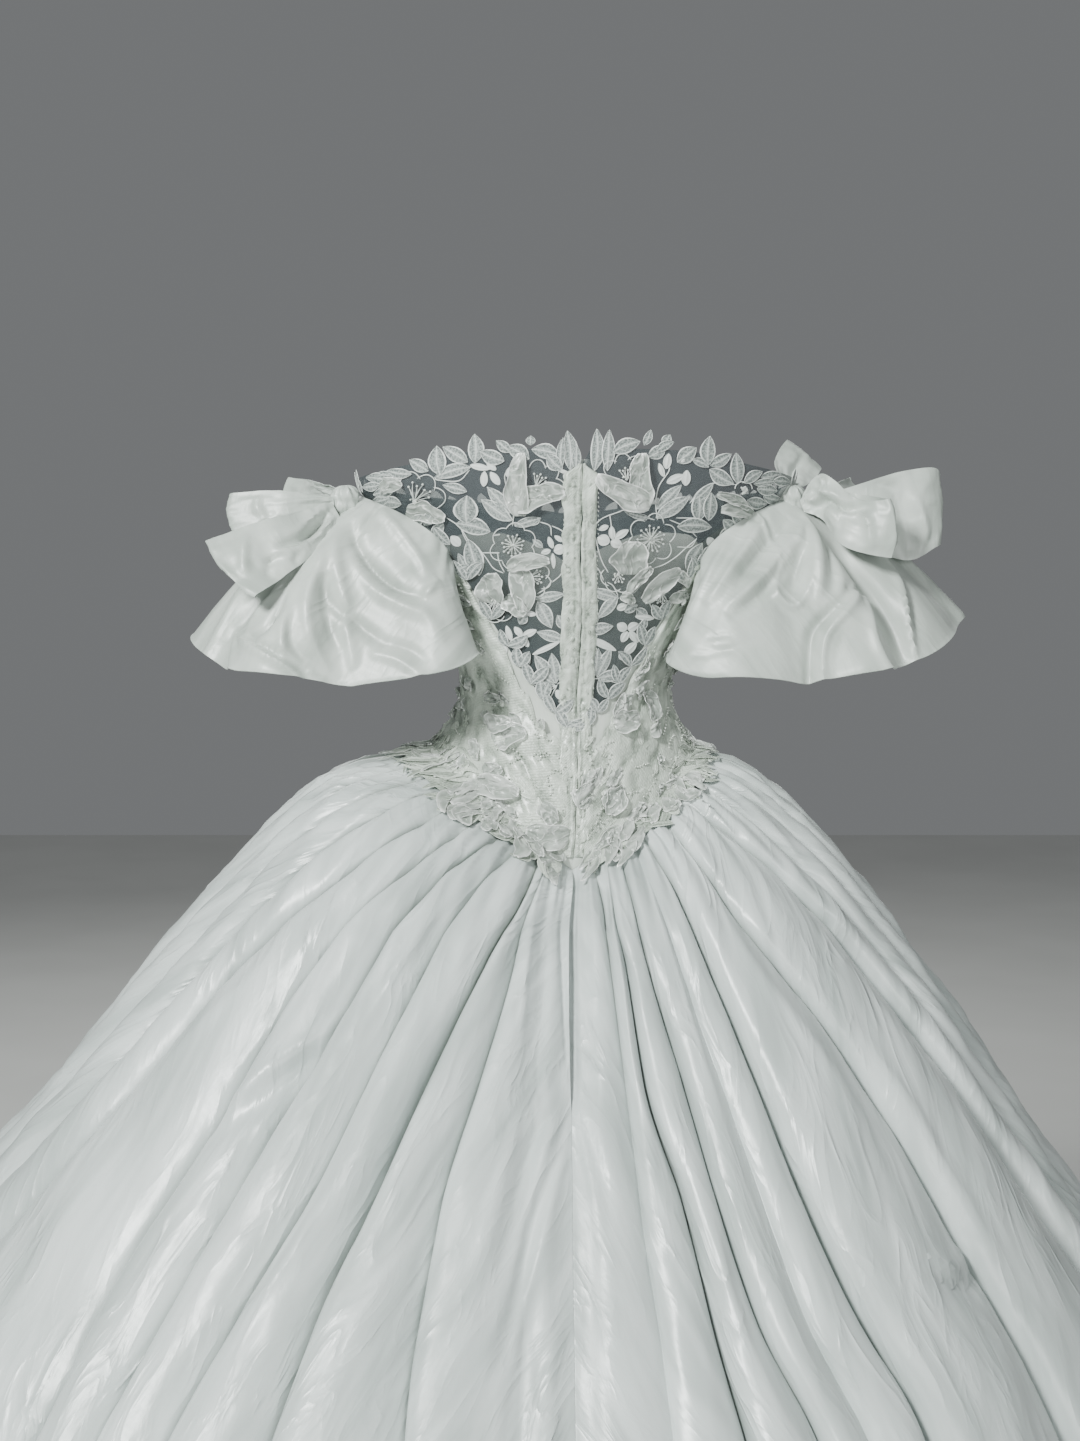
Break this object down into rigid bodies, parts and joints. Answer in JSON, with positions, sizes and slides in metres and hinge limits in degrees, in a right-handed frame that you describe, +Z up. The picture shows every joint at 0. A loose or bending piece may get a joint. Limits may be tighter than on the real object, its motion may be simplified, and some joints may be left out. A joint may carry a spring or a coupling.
{
  "type": "off-the-shoulder wedding ball gown",
  "caption": "Worn-shape bridal ball gown: sheer lace back over a satin bodice, pointed waist, full gathered taffeta skirt, bell flounce sleeves with shoulder bows.",
  "frame": {"origin": "centre of the natural waist on the body's axis, where the wearer carries the gown", "axes": "+Z up, front faces -Y, back closing faces +Y, wearer's left is +X"},
  "size_m": [1.7919, 1.6705, 1.3904],
  "materials": {
    "satin": "ivory satin, soft sheen",
    "net": "sheer net, matte",
    "lace": "corded embroidery lace, matte",
    "taffeta": "crisp silk taffeta, silky sheen",
    "tape": "woven zip tape, matte"
  },
  "bodies": {
    "root": {"back_left": "satin", "back_right": "satin", "side_front_left": "satin", "side_front_right": "satin", "centre_front": "satin", "back_net_left": "net", "back_net_right": "net", "front_net": "net", "placket_left": "lace", "placket_right": "lace", "neck_lace_back_left": "lace", "neck_lace_back_right": "lace", "neck_lace_front": "lace", "hip_lace_back_left": "lace", "hip_lace_back_right": "lace", "hip_lace_front": "lace", "skirt_back_left": "taffeta", "skirt_side_left": "taffeta", "skirt_front": "taffeta", "skirt_side_right": "taffeta", "skirt_back_right": "taffeta", "sleeve_left": "taffeta", "sleeve_right": "taffeta", "knot_left": "taffeta", "knot_right": "taffeta", "loop_left_outer": "taffeta", "loop_left_lower": "taffeta", "loop_left_front": "taffeta", "loop_right_near": "taffeta", "loop_right_far": "taffeta", "loop_right_standing": "taffeta", "loop_right_front": "taffeta", "zip_tape_left": "tape", "zip_tape_right": "tape"}
  },
  "joints": []
}
